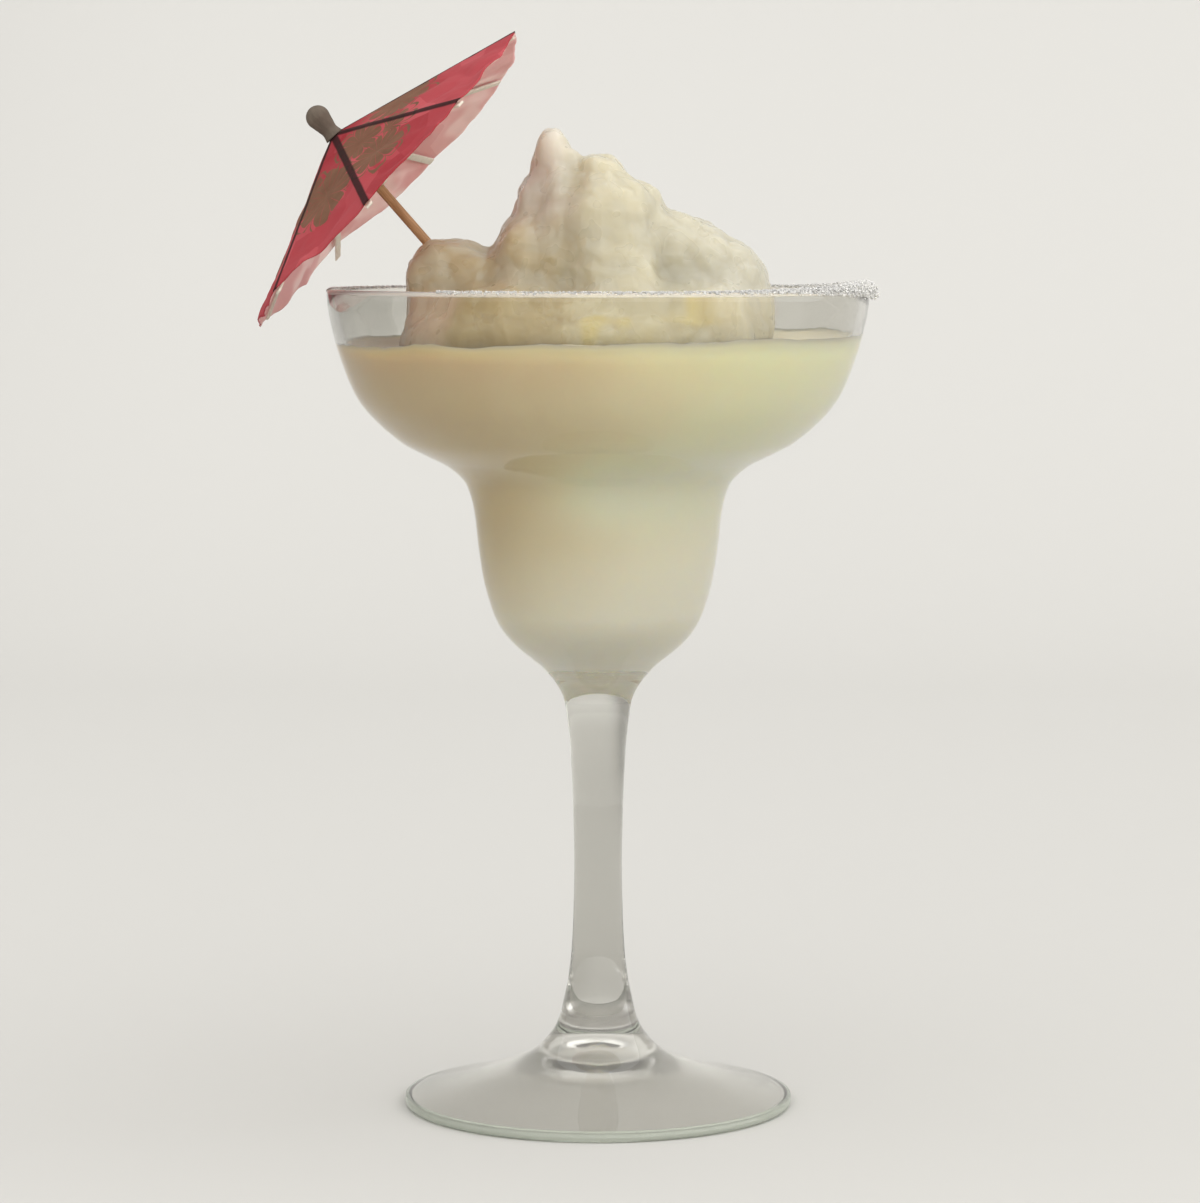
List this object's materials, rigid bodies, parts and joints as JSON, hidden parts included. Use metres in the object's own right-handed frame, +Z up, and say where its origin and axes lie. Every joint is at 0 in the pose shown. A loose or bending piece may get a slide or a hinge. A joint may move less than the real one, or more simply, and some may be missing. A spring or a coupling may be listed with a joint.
{
  "type": "frozen margarita",
  "caption": "Frozen margarita of pale lime slush heaped above a clear stepped coupe glass with a salted rim, an open paper cocktail umbrella stuck in the slush",
  "frame": {"origin": "on the glass's axis at the flat underside of the foot", "axes": "+Z up along the glass's axis, +X to the right as seen in the picture, -Y to the front"},
  "size_m": [0.1291, 0.1136, 0.2231],
  "materials": {
    "clear_glass": "clear and polished, lightly misted outside the cold bowl",
    "drink_slush": "opaque pale lime slush behind glass",
    "mound_slush": "wet translucent crushed ice",
    "salt": "coarse crystals with small glints",
    "stick_wood": "plain tan wood",
    "knob_card": "matt grey-beige",
    "canopy_paper": "thin red paper printed with olive-brown flowers",
    "pale_card": "pale matt card"
  },
  "bodies": {
    "root": {"glass": "clear_glass", "drink": "drink_slush", "slush_mound": "mound_slush", "salt_rim": "salt", "umbrella_stick": "stick_wood", "umbrella_knob": "knob_card", "umbrella_canopy": "canopy_paper", "umbrella_hub": "pale_card", "umbrella_runner": "pale_card", "umbrella_rib_1": "pale_card", "umbrella_rib_2": "pale_card", "umbrella_rib_3": "pale_card", "umbrella_rib_4": "pale_card", "umbrella_rib_5": "pale_card", "umbrella_rib_6": "pale_card", "umbrella_rib_7": "pale_card", "umbrella_rib_8": "pale_card", "umbrella_strut_1": "pale_card", "umbrella_strut_2": "pale_card", "umbrella_strut_3": "pale_card", "umbrella_strut_4": "pale_card", "umbrella_strut_5": "pale_card", "umbrella_strut_6": "pale_card", "umbrella_strut_7": "pale_card", "umbrella_strut_8": "pale_card"}
  },
  "joints": []
}
